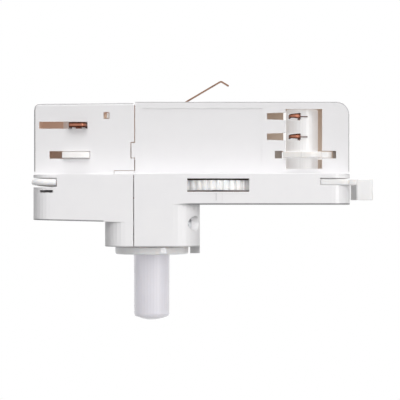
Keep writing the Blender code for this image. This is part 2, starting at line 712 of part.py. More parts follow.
def make_end_cover():
    cover = cut(cover_outer(), cover_cavity())
    half = BASE_HALF + CLEAR
    wall = -INSERT_HALF + INSERT_WALL + CLEAR / 2
    tools = [block((NEUTRAL_SLOT_LEFT, -half, NEUTRAL_HEIGHT - CONTACT_HEIGHT / 2 - SLOT_GAP),
                   (NEUTRAL_SLOT_RIGHT, wall, NEUTRAL_HEIGHT + CONTACT_HEIGHT / 2 + SLOT_GAP)),
             block((LOCK_SLOT_LEFT, -half, LOCK_TAB_LOW - SLOT_GAP),
                   (LOCK_SLOT_RIGHT, wall, LOCK_TAB_HIGH + SLOT_GAP)),
             block((2 * ROTOR_X - LOCK_SLOT_RIGHT, -wall, LOCK_TAB_LOW - SLOT_GAP),
                   (2 * ROTOR_X - LOCK_SLOT_LEFT, half, LOCK_TAB_HIGH + SLOT_GAP))]
    tools.extend(mirrored((CATCH_WINDOW_X, -half, CATCH_LOW),
                          (CATCH_WINDOW_X + CATCH_WINDOW_LENGTH, wall, CATCH_HIGH)))
    far = BODY_LEFT - CLEAR
    tools.append(block((far, -half, LEFT_SLOT_LOW),
                       (LEFT_SLOT_RIGHT, half, COVER_SHOULDER - COVER_PLATE)))
    tools.append(block((SLIT_LEFT, -half, SLIT_LOW), (SLIT_RIGHT, -BASE_HALF + COVER_CORNER,
                                                      SLIT_HIGH)))
    tools.extend(mirrored((SEAM_X - TAB_REACH - SLOT_GAP, -half, TAB_LOW - SLOT_GAP),
                          (SEAM_X + CLEAR, wall, TAB_HIGH + SLOT_GAP)))
    tools.extend(mirrored((SEAM_X - TONGUE_REACH - TONGUE_GAP, -INSERT_HALF - CLEAR,
                           COVER_SHOULDER), (SEAM_X + CLEAR, wall, TONGUE_HIGH + TONGUE_GAP)))
    tools.append(drum(ROTOR_NECK_RADIUS + SLOT_GAP, COVER_SHOULDER - COVER_PLATE - CLEAR,
                      CLEAR / 2, (ROTOR_X, 0.0)))
    tools.append(drum(SHAFT_RADIUS + SEAT_GAP, SHAFT_END - CLEAR / 2, COLUMN_TOP + CLEAR,
                      (ROTOR_X, 0.0), 24))
    tools.append(block((ROTOR_X, -STRIP_WIDTH / 2 - SLOT_GAP, SHAFT_END - CLEAR / 2),
                       (ROTOR_X + COLUMN_RADIUS + CLEAR, STRIP_WIDTH / 2 + SLOT_GAP,
                        SHAFT_END + SLOT_GAP / 3)))
    tools.append(drum(PIVOT_RADIUS + SLOT_GAP, ROTOR_TOP, ROTOR_TOP + PIVOT_LENGTH + SEAT_GAP,
                      (ROTOR_X, 0.0), 20))
    screw_end = SCREW_SEAT_X + SEAT_GAP - SCREW_LENGTH - SEAT_GAP
    for side in (-1, 1):
        tools.append(bar_along_x(SCREW_SHANK_RADIUS + SEAT_GAP, screw_end, SEAM_X + CLEAR,
                                 side * SCREW_Y, SCREW_Z, 16))
    return node("end_cover", cut(cover, *tools), "white_shell")


def make_contact_turret():
    """The turret that carries the phase contacts, with its shaft and hollow core."""
    core = CONDUCTOR_RADIUS + SEAT_GAP
    shape = turned([(0.0, TURRET_TOP + PIVOT_LENGTH), (PIVOT_RADIUS, TURRET_TOP + PIVOT_LENGTH),
                    (PIVOT_RADIUS, TURRET_TOP), (TURRET_RADIUS - EDGE_ROUND, TURRET_TOP),
                    (TURRET_RADIUS, TURRET_TOP - EDGE_ROUND), (TURRET_RADIUS, TURRET_BOTTOM),
                    (SHAFT_RADIUS, TURRET_BOTTOM), (SHAFT_RADIUS, SHAFT_END), (core, SHAFT_END),
                    (core, TURRET_TOP - CLEAR / 2), (0.0, TURRET_TOP - CLEAR / 2)],
                   (TURRET_X, 0.0, 0.0), steps=32)
    tools = []
    reach = TURRET_RADIUS + CLEAR
    seam = TURRET_X + PHASE_NOSE_RIGHT + SLOT_GAP * 1.5
    for height in PHASE_CONTACT_HEIGHTS.values():
        low = height - CONTACT_HEIGHT / 2 - SLOT_GAP
        high = height + CONTACT_HEIGHT / 2 + SLOT_GAP
        tools.append(block((TURRET_X - reach, -reach, low), (seam, -0.0021, high)))
        tools.append(block((TURRET_X - 0.0026, -0.0030, low), (seam, -0.0004, high)))
        slit = TONGUE_THICKNESS / 2 + SLOT_GAP
        tools.append(block((seam - CLEAR / 4, -reach, height - slit),
                           (TURRET_X + TONGUE_RIGHT + SLOT_GAP, -TURRET_RADIUS + CLEAR / 2,
                            height + slit)))
    tools.append(block((seam - INDEX_GROOVE / 2, -reach, TURRET_BOTTOM - CLEAR),
                       (seam + INDEX_GROOVE / 2, -TURRET_RADIUS + INDEX_GROOVE * 1.5,
                        TURRET_TOP + CLEAR / 4)))
    return node("contact_turret", cut(shape, *tools), "white_moving", (TURRET_X, 0.0, 0.0))


def make_contact(name, axis_x, left, right, height):
    """A bent copper contact: out from the core, round its nose and back."""
    half = CONTACT_THICKNESS / 2
    core = CONDUCTOR_RADIUS + SEAT_GAP + half
    tip = -CONTACT_REACH + half
    nose = min((right - left) / 2 - half, CONTACT_BEND) * 0.98
    path = [(right - half, -core * 0.75), (right - half, tip, nose), (left + half, tip, nose),
            (left + half, -CONTACT_END)]
    if right < 0.0:
        path[0] = (SEAT_GAP - core, -CONTACT_ROOT)
        path.insert(1, (right - half, -CONTACT_SHOULDER))
    points = [(axis_x + x, y) for x, y in rounded(path, closed=False)]
    shape = ribbon(points, CONTACT_HEIGHT, CONTACT_THICKNESS, height)
    if right < 0.0:
        for vert in shape.data.vertices:
            along = min(max((vert.co.x - axis_x - left) / (right - left), 0.0), 1.0)
            share = PHASE_NOSE_LOW_SHARE + along * (PHASE_NOSE_HIGH_SHARE - PHASE_NOSE_LOW_SHARE)
            vert.co.z = height + (vert.co.z - height) * share
        front = -TURRET_RADIUS - SLOT_GAP * 2
        tongue = block((axis_x + right - half, front, height - TONGUE_THICKNESS / 2),
                       (axis_x + TONGUE_RIGHT, front + CLEAR / 2, height + TONGUE_THICKNESS / 2))
        shape = joined(shape, tongue)
    return node(name, shape, "copper", (axis_x, 0.0, 0.0))


def make_conductor(name, axis_x, top):
    """The copper rod in a rotor's core, which touches its strip below."""
    low = SHAFT_END - SEAT_GAP / 3
    return node(name, drum(CONDUCTOR_RADIUS, low, top, (axis_x, 0.0), 16), "copper",
                (axis_x, 0.0, 0.0))


def make_turret_gear():
    pitch = GEAR_PITCH_RADIUS
    top = WHEEL_TOP - WHEEL_THICKNESS + GEAR_THICKNESS
    rim = plate(toothed_outline(GEAR_TEETH, pitch - GEAR_DEDENDUM, pitch + GEAR_ADDENDUM,
                                TURRET_X, math.pi + math.pi / GEAR_TEETH), top - GEAR_THICKNESS, top)
    bore = drum(SHAFT_RADIUS + SEAT_GAP, top - CLEAR * 2, top + CLEAR, (TURRET_X, 0.0), 24)
    return node("turret_gear", cut(rim, bore), "white_moving", (TURRET_X, 0.0, 0.0))


def make_lock_cam():
    """The cam under the turret: hub, locking flange and square tenon for the lever."""
    hub_low = -SHOULDER_PLATE - SEAT_GAP / 2
    hub = drum(TURRET_RADIUS, hub_low, CAM_HIGH, (TURRET_X, 0.0), 40)
    start = CAM_RIGHT + SLOT_GAP
    corner = math.sqrt(CAM_RADIUS ** 2 - CAM_HEEL_HALF ** 2) - SLOT_GAP
    heel = [(start, -CAM_HEEL_HALF), (max(corner, start + SLOT_GAP), -CAM_HEEL_HALF),
            (CAM_HEEL_RIGHT, SLOT_GAP - math.sqrt(CAM_RADIUS ** 2 - CAM_HEEL_RIGHT ** 2)),
            (CAM_HEEL_RIGHT, 0.0)]
    flange = plate(lobed_outline(CAM_RADIUS, CAM_LEFT, CAM_RIGHT, TURRET_X, heel=heel),
                   CAM_LOW, CAM_HIGH)
    flange = round_edges(flange, lambda p: math.hypot(p.x - TURRET_X, p.y) > CAM_RADIUS - 1e-5,
                         EDGE_ROUND / 2, 1)
    half = LEVER_SQUARE / 2
    tenon = block((TURRET_X - half, -half, LEVER_TOP - LEVER_THICKNESS),
                  (TURRET_X + half, half, hub_low + CLEAR / 4))
    bore = drum(SHAFT_RADIUS + SEAT_GAP, LEVER_TOP - CLEAR * 2, CAM_HIGH + CLEAR,
                (TURRET_X, 0.0), 24)
    return node("lock_cam", cut(joined(hub, flange, tenon), bore), "white_moving",
                (TURRET_X, 0.0, 0.0))


def make_lock_lever():
    """The right lever: a broad plate in the base's end, and the pad outside it."""
    low = LEVER_TOP - LEVER_THICKNESS
    pad_inner_x = BODY_RIGHT + PAD_GAP
    inner = math.hypot(pad_inner_x - TURRET_X, PAD_HALF)
    right = BODY_RIGHT - SLOT_GAP
    within = PAD_RIGHT - CLEAR
    front = PADDLE_INSET - BASE_HALF
    outline = rounded([(PADDLE_LEFT, -0.0040), (PADDLE_LEFT, front, 0.0006),
                       (right - 0.0004, front, 0.0024), (right, front + PADDLE_STEP, 0.002),
                       (pad_inner_x, 0.0003 - PAD_HALF, 0.001), (within, 0.0003 - PAD_HALF),
                       (within, PAD_HALF - 0.0003), (pad_inner_x, PAD_HALF - 0.0003),
                       (pad_inner_x - 0.0003, 0.0080), (TURRET_X - 0.002, 0.0080)], steps=4)
    arm = plate(outline, low, LEVER_TOP)
    hub = drum(LEVER_HUB_RADIUS, low, LEVER_TOP, (TURRET_X, 0.0), 40)
    limit = math.asin(PAD_HALF / inner)
    concave = [(TURRET_X + inner * math.cos(limit - 2 * limit * step / 12),
                inner * math.sin(limit - 2 * limit * step / 12)) for step in range(13)]
    pad_outline = rounded([*concave, (PAD_RIGHT, -PAD_HALF, 0.0008), (PAD_RIGHT, PAD_HALF, 0.0008)],
                          steps=4)
    pad = plate(pad_outline, PAD_BOTTOM, LEVER_TOP + SEAT_GAP / 3)
    pad = round_edges(pad, lambda p: True, 0.0003, 1)
    half = LEVER_SQUARE / 2 + SEAT_GAP
    square = block((TURRET_X - half, -half, low - CLEAR), (TURRET_X + half, half, CLEAR))
    return node("lock_lever", cut(joined(arm, hub, pad), square), "white_moving",
                (TURRET_X, 0.0, 0.0))


def make_neutral_rotor():
    """The left rotor: its drum, lock tabs, neck, square tenon, shaft and core."""
    neck_top = COVER_SHOULDER + SEAT_GAP
    neck_low = COVER_SHOULDER - COVER_PLATE - SEAT_GAP
    core = CONDUCTOR_RADIUS + SEAT_GAP
    shape = turned([(0.0, ROTOR_TOP + PIVOT_LENGTH), (PIVOT_RADIUS, ROTOR_TOP + PIVOT_LENGTH),
                    (PIVOT_RADIUS, ROTOR_TOP), (ROTOR_RADIUS - EDGE_ROUND, ROTOR_TOP),
                    (ROTOR_RADIUS, ROTOR_TOP - EDGE_ROUND), (ROTOR_RADIUS, neck_top),
                    (ROTOR_NECK_RADIUS, neck_top), (ROTOR_NECK_RADIUS, neck_low),
                    (SHAFT_RADIUS, neck_low), (SHAFT_RADIUS, SHAFT_END), (0.0, SHAFT_END)],
                   (ROTOR_X, 0.0, 0.0), steps=32)
    tabs = plate(lobed_outline(LOCK_TAB_RADIUS, LOCK_TAB_LEFT, LOCK_TAB_RIGHT, ROTOR_X),
                 LOCK_TAB_LOW, LOCK_TAB_HIGH)
    half = ROTOR_SQUARE / 2
    tenon = block((ROTOR_X - half, -half, LEVER_TOP - LEVER_THICKNESS),
                  (ROTOR_X + half, half, neck_low + CLEAR / 4))
    shape = joined(shape, tabs, tenon)
    low = NEUTRAL_HEIGHT - CONTACT_HEIGHT / 2 - SLOT_GAP
    high = NEUTRAL_HEIGHT + CONTACT_HEIGHT / 2 + SLOT_GAP
    pocket = block((ROTOR_X + NEUTRAL_NOSE_LEFT - SLOT_GAP, -ROTOR_RADIUS - CLEAR, low),
                   (ROTOR_X + NEUTRAL_NOSE_RIGHT + SLOT_GAP, -0.0010, high))
    core_cut = drum(core, SHAFT_END - CLEAR, NEUTRAL_HEIGHT + CLEAR, (ROTOR_X, 0.0), 16)
    return node("neutral_rotor", cut(shape, pocket, core_cut), "white_moving",
                (ROTOR_X, 0.0, 0.0))


def make_left_lever():
    """The left lever: a hub, an arm to the corner and a rounded thumb tab."""
    low = LEVER_TOP - LEVER_THICKNESS
    tab_x = BODY_LEFT + COVER_CORNER
    tab_y = -BASE_HALF + COVER_CORNER
    edge = 0.0008
    tab = turned([(0.0, LEVER_TOP), (LEFT_LEVER_RADIUS - edge, LEVER_TOP),
                  (LEFT_LEVER_RADIUS - edge * 0.3, LEVER_TOP - edge * 0.3),
                  (LEFT_LEVER_RADIUS, LEVER_TOP - edge), (LEFT_LEVER_RADIUS, low + edge * 0.7),
                  (LEFT_LEVER_RADIUS - edge * 0.4, low), (LEFT_LEVER_RADIUS * 0.6, low - edge * 0.6),
                  (0.0, low - edge)], (tab_x, tab_y, 0.0), steps=36)
    hub = drum(LEFT_LEVER_HUB, low, LEVER_TOP, (ROTOR_X, 0.0), 24)
    towards = Vector((tab_x - ROTOR_X, tab_y)).normalized()
    across = Vector((-towards.y, towards.x)) * (LEFT_LEVER_HUB * 0.8)
    start = Vector((ROTOR_X, 0.0))
    end = Vector((tab_x, tab_y))
    arm = plate([tuple(start + across), tuple(end + across), tuple(end - across),
                 tuple(start - across)], low + EDGE_ROUND / 4, LEVER_TOP - EDGE_ROUND / 4)
    half = ROTOR_SQUARE / 2 + SEAT_GAP
    square = block((ROTOR_X - half, -half, low - CLEAR), (ROTOR_X + half, half, CLEAR))
    trim = block((LEFT_SLOT_RIGHT - SEAT_GAP, -BASE_HALF - CLEAR, low - CLEAR),
                 (ROTOR_X, -BASE_HALF + BASE_WALL + SEAT_GAP, CLEAR))
    return node("left_lever", cut(joined(hub, arm, tab), square, trim), "white_moving",
                (ROTOR_X, 0.0, 0.0))


def make_selector_wheel():
    pitch = WHEEL_PITCH_RADIUS
    low = WHEEL_TOP - WHEEL_THICKNESS
    rim = plate(toothed_outline(WHEEL_TEETH, pitch - WHEEL_DEDENDUM, pitch + WHEEL_ADDENDUM,
                                WHEEL_X, 0.0), low, WHEEL_TOP)
    dish = turned([(AXLE_RADIUS * 2.2, WHEEL_TOP + CLEAR), (pitch - 0.003, WHEEL_TOP + CLEAR),
                   (pitch - 0.003, WHEEL_TOP - 0.0010), (AXLE_RADIUS * 2.2, WHEEL_TOP - 0.0010)],
                  (WHEEL_X, 0.0, 0.0), steps=24)
    bore = drum(AXLE_RADIUS + SEAT_GAP, low - CLEAR, WHEEL_TOP + CLEAR, (WHEEL_X, 0.0), 24)
    return node("selector_wheel", cut(rim, dish, bore), "white_moving", (WHEEL_X, 0.0, 0.0))


def make_selector_shaft():
    low = BASE_BOTTOM + BASE_WALL + SEAT_GAP
    high = -SHOULDER_PLATE / 2 - SEAT_GAP
    return node("selector_shaft", drum(AXLE_RADIUS, low, high, (WHEEL_X, 0.0), 20), "steel")


def make_earth_spring():
    """The bent earth strip that springs up against the track's roof."""
    x, z = EARTH_HINGE
    points = rounded([(x - 0.0012, z), (x, z, 0.0008), (*EARTH_PEAK, 0.0009), EARTH_TIP],
                     closed=False, steps=4)
    shape = ribbon(points, EARTH_WIDTH, EARTH_THICKNESS, upright=True)
    return node("earth_spring", shape, "copper", (x, 0.0, z))


def block_bottom():
    return SCREW_Z + POST_RADIUS + SEAT_GAP


def cage_bottom():
    return block_bottom() + SEAT_GAP * 2


def strip_middle():
    """Height of the flat strips that lie on the terminal cages."""
    return cage_bottom() + CAGE_HEIGHT + SEAT_GAP + STRIP_THICKNESS / 2


def earth_riser():
    """Where the earth strip rises, inside the block and clear of the wheel's rim."""
    wheel_left = WHEEL_X - WHEEL_PITCH_RADIUS - WHEEL_ADDENDUM
    return min(BLOCK_LEFT + EARTH_RISER_INSET, wheel_left - SLOT_GAP - STRIP_THICKNESS)


def make_earth_strip():
    """The earth strip from its terminal up to the root of the earth spring."""
    x, z = EARTH_HINGE
    rise = earth_riser()
    top = z - EARTH_THICKNESS / 2 - SEAT_GAP - STRIP_THICKNESS / 2
    points = rounded([(BLOCK_RIGHT - 0.005, strip_middle()), (rise, strip_middle(), 0.0006),
                      (rise, top, 0.0006), (x - 0.0004, top)], closed=False, steps=3)
    shape = ribbon(points, STRIP_WIDTH, STRIP_THICKNESS, upright=True)
    return node("earth_strip", shape, "copper")


def make_strip(name, lane, axis_x, back):
    """A flat strip from its terminal along its lane, then over to the rotor's axis."""
    start = BLOCK_LEFT + CAGE_LENGTH * 0.6
    half = STRIP_WIDTH / 2
    turn = axis_x + back * STRIP_RUN_IN
    centre = [(start, lane), (turn + back * STRIP_BEND, lane), (turn, 0.0),
              (axis_x - back * SHAFT_RADIUS / 2, 0.0)]
    sides = [[(x, y - offset * back) for x, y in centre] for offset in (-half, half)]
    points = sides[0] + sides[1][::-1]
    middle = strip_middle()
    shape = plate(points, middle - STRIP_THICKNESS / 2, middle + STRIP_THICKNESS / 2)
    return node(name, shape, "copper")


TERMINALS = {"live": -TERMINAL_PITCH, "earth": 0.0, "neutral": TERMINAL_PITCH}


def make_terminal_block():
    """The insulating block with three pockets, which sits on the screw posts."""
    low = block_bottom()
    high = low + BLOCK_HEIGHT
    shape = block((BLOCK_LEFT, -BLOCK_HALF, low), (BLOCK_RIGHT, BLOCK_HALF, high))
    roof = strip_middle() + STRIP_THICKNESS / 2 + SEAT_GAP
    half = CAGE_WIDTH / 2 + SEAT_GAP
    slot = STRIP_WIDTH / 2 + SEAT_GAP
    strip_floor = strip_middle() - STRIP_THICKNESS / 2 - SEAT_GAP
    tools = []
    for lane in TERMINALS.values():
        tools.append(block((BLOCK_LEFT - CLEAR, lane - half, cage_bottom() - SEAT_GAP),
                           (BLOCK_LEFT + CAGE_LENGTH + SEAT_GAP * 3, lane + half, roof)))
        tools.append(drum(WIRE_BORE_RADIUS + SEAT_GAP, low - CLEAR, cage_bottom(),
                          (wire_x(), lane), 16))
    lane = TERMINALS["live"]
    tools.append(block((BLOCK_LEFT + CAGE_LENGTH, lane - slot, strip_floor),
                       (BLOCK_RIGHT + CLEAR, lane + slot, roof)))
    rise = earth_riser()
    tools.append(block((rise - CLEAR / 2, -slot, roof - CLEAR / 4),
                       (rise + CLEAR / 2, slot, high + CLEAR)))
    return node("terminal_block", cut(shape, *tools), "dark_plastic")


def wire_x():
    return BLOCK_LEFT + CAGE_LENGTH * 0.68


def make_terminal(circuit):
    """A brass cage with its wire bore from below and its screw hole from the seam side."""
    lane = TERMINALS[circuit]
    low = cage_bottom()
    left = BLOCK_LEFT + SEAT_GAP
    half = CAGE_WIDTH / 2
    shape = block((left, lane - half, low), (left + CAGE_LENGTH, lane + half, low + CAGE_HEIGHT))
    middle = low + CAGE_HEIGHT / 2
    wire = drum(WIRE_BORE_RADIUS, low - CLEAR, low + CAGE_HEIGHT - 0.0006, (wire_x(), lane), 16)
    thread = bar_along_x(TERMINAL_SCREW_RADIUS + SEAT_GAP, left - CLEAR, wire_x(), lane, middle, 16)
    return node(f"{circuit}_terminal", cut(shape, wire, thread), "brass")


def make_terminal_screw(circuit):
    lane = TERMINALS[circuit]
    middle = cage_bottom() + CAGE_HEIGHT / 2
    left = BLOCK_LEFT - 0.0006
    shape = bar_along_x(TERMINAL_SCREW_RADIUS, left, wire_x() - WIRE_BORE_RADIUS, lane, middle, 16)
    slot = block((left - CLEAR, lane - 0.00025, middle - CLEAR),
                 (left + 0.0007, lane + 0.00025, middle + CLEAR))
    return node(f"{circuit}_screw", cut(shape, slot), "steel")


def make_cover_screw(name, side):
    """A long pan-head screw that draws the cover to the body."""
    seat = SCREW_SEAT_X + SEAT_GAP
    head = SCREW_HEAD_THICKNESS
    crown = SCREW_HEAD_RADIUS * 0.6
    shape = turned([(0.0, head), (crown, head), (SCREW_HEAD_RADIUS, head * 0.55),
                    (SCREW_HEAD_RADIUS, 0.0), (SCREW_SHANK_RADIUS, 0.0),
                    (SCREW_SHANK_RADIUS, -SCREW_LENGTH + SCREW_SHANK_RADIUS),
                    (SCREW_SHANK_RADIUS * 0.4, -SCREW_LENGTH), (0.0, -SCREW_LENGTH)],
                   (seat, side * SCREW_Y, SCREW_Z), along="X", steps=20)
    half = SCREW_HEAD_RADIUS * 0.14
    arm = SCREW_HEAD_RADIUS * 0.62
    y = side * SCREW_Y
    cross = [block((seat + head * 0.4, y - half, SCREW_Z - arm),
                   (seat + head + CLEAR, y + half, SCREW_Z + arm)),
             block((seat + head * 0.4, y - arm, SCREW_Z - half),
                   (seat + head + CLEAR, y + arm, SCREW_Z + half))]
    return node(name, cut(shape, *cross), "steel")


def make_nipple():
    chamfer = 0.0005
    shape = turned([(NIPPLE_RADIUS - chamfer, NIPPLE_TOP), (NIPPLE_RADIUS, NIPPLE_TOP - chamfer),
                    (NIPPLE_RADIUS, NIPPLE_BOTTOM + chamfer),
                    (NIPPLE_RADIUS - chamfer, NIPPLE_BOTTOM), (NIPPLE_BORE_RADIUS, NIPPLE_BOTTOM),
                    (NIPPLE_BORE_RADIUS, NIPPLE_TOP)], steps=32)
    return node("threaded_nipple", shape, "steel")


def washer_low():
    return BOSS_BOTTOM + BASE_WALL + SEAT_GAP


def make_washer():
    low = washer_low()
    high = low + WASHER_THICKNESS
    shape = turned([(WASHER_RADIUS, high), (WASHER_RADIUS, low), (STEM_HOLE_RADIUS, low),
                    (STEM_HOLE_RADIUS, high)], steps=32)
    return node("nipple_washer", shape, "steel")


def make_nut():
    low = washer_low() + WASHER_THICKNESS + SEAT_GAP
    reach = NUT_FLATS / math.sqrt(3)
    corners = [(reach * math.cos(math.radians(60 * k)), reach * math.sin(math.radians(60 * k)))
               for k in range(6)]
    shape = plate(corners, low, low + NUT_THICKNESS)
    bore = drum(NIPPLE_RADIUS + SEAT_GAP, low - CLEAR, low + NUT_THICKNESS + CLEAR)
    return node("nipple_nut", cut(shape, bore), "steel")


def collar_low():
    return BOSS_BOTTOM - SEAT_GAP - COLLAR_THICKNESS


def make_collar():
    high = BOSS_BOTTOM - SEAT_GAP
    low = collar_low()
    edge = COLLAR_THICKNESS * 0.22
    shape = turned([(COLLAR_RADIUS - edge * 0.5, high), (COLLAR_RADIUS, high - edge * 0.5),
                    (COLLAR_RADIUS, low + edge), (COLLAR_RADIUS - edge * 0.3, low + edge * 0.3),
                    (COLLAR_RADIUS - edge, low), (CAP_RADIUS + SLOT_GAP, low),
                    (CAP_RADIUS + SLOT_GAP, low + SEAT_GAP), (STEM_HOLE_RADIUS, low + SEAT_GAP),
                    (STEM_HOLE_RADIUS, high)], steps=44)
    return node("collar", shape, "white_shell")


def make_protective_cap():
    """The push-on cap over the nipple, with its domed end."""
    top = collar_low()
    edge = 0.0010
    low = CAP_BOTTOM + CAP_DOME
    profile = [(CAP_RADIUS, top), (CAP_RADIUS * 0.99, low + edge),
               (CAP_RADIUS * 0.99 - edge * 0.3, low + edge * 0.25)]
    steps = 3
    rim = CAP_RADIUS * 0.99 - edge
    for step in range(steps):
        share = 1 - step / steps
        profile.append((rim * share, CAP_BOTTOM + CAP_DOME * (1 - edge * 80) * share ** 2))
    shape = turned([(0.0, top), *profile, (0.0, CAP_BOTTOM)], steps=36)
    bore = drum(STEM_HOLE_RADIUS, CAP_BOTTOM + CAP_END_WALL, top + CLEAR, steps=24)
    return node("protective_cap", cut(shape, bore), "white_cap")


def build_adapter():
    make_main_body()
    make_end_cover()
    make_contact_turret()
    for name, height in PHASE_CONTACT_HEIGHTS.items():
        make_contact(name, TURRET_X, PHASE_NOSE_LEFT, PHASE_NOSE_RIGHT, height)
    make_conductor("turret_conductor", TURRET_X, max(PHASE_CONTACT_HEIGHTS.values()) + 0.0012)
    make_turret_gear()
    make_lock_cam()
    make_lock_lever()
    make_neutral_rotor()
    make_contact("neutral_contact", ROTOR_X, NEUTRAL_NOSE_LEFT, NEUTRAL_NOSE_RIGHT, NEUTRAL_HEIGHT)
    make_conductor("rotor_conductor", ROTOR_X, NEUTRAL_HEIGHT + 0.0012)
    make_left_lever()
    make_selector_wheel()
    make_selector_shaft()
    make_earth_spring()
    make_earth_strip()
    make_strip("live_strip", TERMINALS["live"], TURRET_X, -1)
    make_strip("neutral_strip", TERMINALS["neutral"], ROTOR_X, 1)
    make_terminal_block()
    for circuit in TERMINALS:
        make_terminal(circuit)
        make_terminal_screw(circuit)
    make_cover_screw("cover_screw_front", -1)
    make_cover_screw("cover_screw_rear", 1)
    make_nipple()
    make_washer()
    make_nut()
    make_collar()
    make_protective_cap()


clear_scene()
adapter = new_collection("track_light_adapter")
workshop = new_collection("workshop")
cutters = new_collection("cutters")
build_adapter()
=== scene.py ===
"""Looks for the track light adapter: camera, studio, materials and fine visual pieces."""
import json
import math

import bpy
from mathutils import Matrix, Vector


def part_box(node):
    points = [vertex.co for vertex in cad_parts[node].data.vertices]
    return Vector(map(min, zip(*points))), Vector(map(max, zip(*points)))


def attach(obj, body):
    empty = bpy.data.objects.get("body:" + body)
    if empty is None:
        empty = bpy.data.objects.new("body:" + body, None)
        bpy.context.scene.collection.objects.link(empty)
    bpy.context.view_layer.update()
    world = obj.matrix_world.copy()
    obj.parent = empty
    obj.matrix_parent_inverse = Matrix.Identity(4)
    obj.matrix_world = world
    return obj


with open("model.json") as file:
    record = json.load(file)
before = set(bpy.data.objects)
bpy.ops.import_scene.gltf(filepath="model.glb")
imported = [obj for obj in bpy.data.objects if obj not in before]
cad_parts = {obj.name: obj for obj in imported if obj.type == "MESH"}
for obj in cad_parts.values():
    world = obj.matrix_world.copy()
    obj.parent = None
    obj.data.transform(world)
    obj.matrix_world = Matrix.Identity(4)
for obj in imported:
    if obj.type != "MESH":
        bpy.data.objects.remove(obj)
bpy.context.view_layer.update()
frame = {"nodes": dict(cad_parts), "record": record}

# Camera: straight from the front, 600 mm away, framed as the photograph
CAMERA_PLACE = (0.01757, -0.600, -0.00943)
LENS = 148.3
FLOOR_Z = -0.110
MIDDLE = (0.018, 0.0, -0.005)
WHEEL_MIDDLE = 0.02405
OWN_LOOKS = {"end_cover": "cover_white", "collar": "bright_white", "left_lever": "bright_white",
             "contact_turret": "rotor_white", "lock_cam": "rotor_white",
             "selector_wheel": "wheel_white", "neutral_contact": "contact_copper",
             "phase_contact_upper": "contact_copper", "phase_contact_lower": "contact_copper",
             "earth_spring": "bronze", "threaded_nipple": "dark_steel"}

# Places on the solids that the materials follow, in metres
SEAM_X = -0.00575
INSIDE_DEPTH = 0.0084
INSIDE_LEFT, INSIDE_RIGHT = -0.0415, 0.0706
INSIDE_LOW, INSIDE_HIGH = 0.0002, 0.0250
SHOULDER_TOP = 0.0006
INSERT_RIGHT_CORNER, INSERT_RIGHT_RADIUS = (0.0666, 0.0213), 0.0045
INSERT_LEFT_CORNER, INSERT_LEFT_RADIUS = (-0.0404, 0.02394), 0.0015
COVER_TOP_START, COVER_TOP_RISE = 0.00585, 0.0097
BASE_UNDER, BASE_UNDER_START, BASE_UNDER_FULL = -0.0111, 0.0085, 0.0150
COVER_UNDER, COVER_LEFT, COVER_UNDER_FALL = -0.0165, -0.0419, 0.0236
BOSS_UNDER, BOSS_LEFT_END = -0.0260, -0.0165
WINDOW_LEFT, WINDOW_RIGHT = 0.0125, 0.0356
WINDOW_LOW, WINDOW_HIGH = -0.0068, -0.0012
WINDOW_FACE = 0.01797
POINTER_X, POINTER_HALF = 0.0243, 0.0010
POINTER_LOW, POINTER_HIGH = -0.0097, -0.0069
MOULD_LINE_X = 0.05365
RECESS_X, RECESS_Y = 0.0400, -0.0081
RECESS_LOW, RECESS_HIGH = 0.0054, 0.0083
GLOW_LOW, GLOW_HIGH = 0.008, 0.014
CONTACT_HEIGHTS = (0.0206, 0.0133, 0.0174)
CONTACT_TIP_X = 0.0533

# Colours that the masks paint: the mould line grey, black for no glow, and painted shade in the
# other greys and browns
EDGE_SHADE_GREY = (0.12, 0.12, 0.125)
LOW_EDGE_SHADE_GREY = (0.15, 0.15, 0.155)
LINE_GREY = (0.20, 0.18, 0.17)
WELL_SHADE_BROWN = (0.10, 0.055, 0.04)
RECESS_SHADE_BROWN = (0.20, 0.165, 0.14)
CREVICE_SHADE_BROWN = (0.30, 0.17, 0.12)
BLACK = (0.0, 0.0, 0.0)

# The ridge of the stem's thread, and the dark ribs inside the base, coloured as painted shade
THREAD_PITCH = 0.001
THREAD_RIDGE = 0.00032
THREAD_SINK = 0.0002
THREAD_END = 0.0006
RIB_LENGTH = 0.0219
RIBS = {"upper": {"depth": 0.0005, "height": 0.0006, "distance": 0.00975, "up": -0.0019},
        "lower": {"depth": 0.0005, "height": 0.0014, "distance": 0.01595, "up": -0.0068}}


def make_camera():
    data = bpy.data.cameras.new("camera")
    data.lens = LENS
    data.sensor_width = 36.0
    data.clip_start = 0.01
    data.clip_end = 50.0
    camera = bpy.data.objects.new("camera", data)
    camera.location = CAMERA_PLACE
    camera.rotation_euler = (math.radians(90), 0.0, 0.0)
    bpy.context.scene.collection.objects.link(camera)
    bpy.context.scene.camera = camera


def softbox(name, place, size, power, colour=(1.0, 1.0, 1.0), shine=True):
    data = bpy.data.lights.new(name, "AREA")
    data.shape = "RECTANGLE"
    data.size, data.size_y = size
    data.energy = power
    data.color = colour
    light = bpy.data.objects.new(name, data)
    light.location = place
    light.rotation_euler = (Vector(MIDDLE) - Vector(place)).to_track_quat("-Z", "Y").to_euler()
    light.visible_glossy = shine
    bpy.context.scene.collection.objects.link(light)


